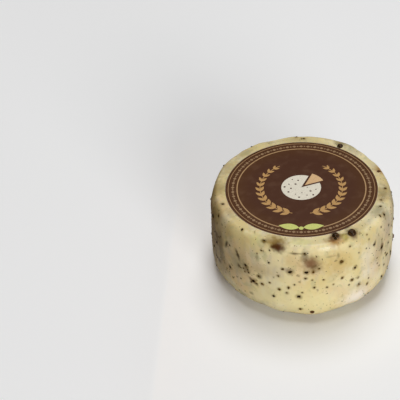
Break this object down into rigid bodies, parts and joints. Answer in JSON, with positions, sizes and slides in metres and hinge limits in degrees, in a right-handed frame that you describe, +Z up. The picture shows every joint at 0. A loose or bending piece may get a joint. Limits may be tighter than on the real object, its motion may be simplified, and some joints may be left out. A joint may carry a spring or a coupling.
{
  "type": "caciotta",
  "caption": "Small whole wheel of young cheese with a soft shoulder and rounded foot, peppercorns standing out of its skin, and a round paper label on its flat top.",
  "frame": {"origin": "centre of the flat base, where the wheel's axis meets the surface it stands on", "axes": "+Z up the wheel's axis to the label, -Y towards the front, +X to the right of someone who faces the front"},
  "size_m": [0.1225, 0.1256, 0.0664],
  "materials": {
    "cheese": "waxy satin skin, pale straw yellow, speckled with black pepper",
    "label": "satin dark brown paper with tan, cream and green print"
  },
  "bodies": {
    "root": {"cheese": "cheese", "label": "label"}
  },
  "joints": []
}
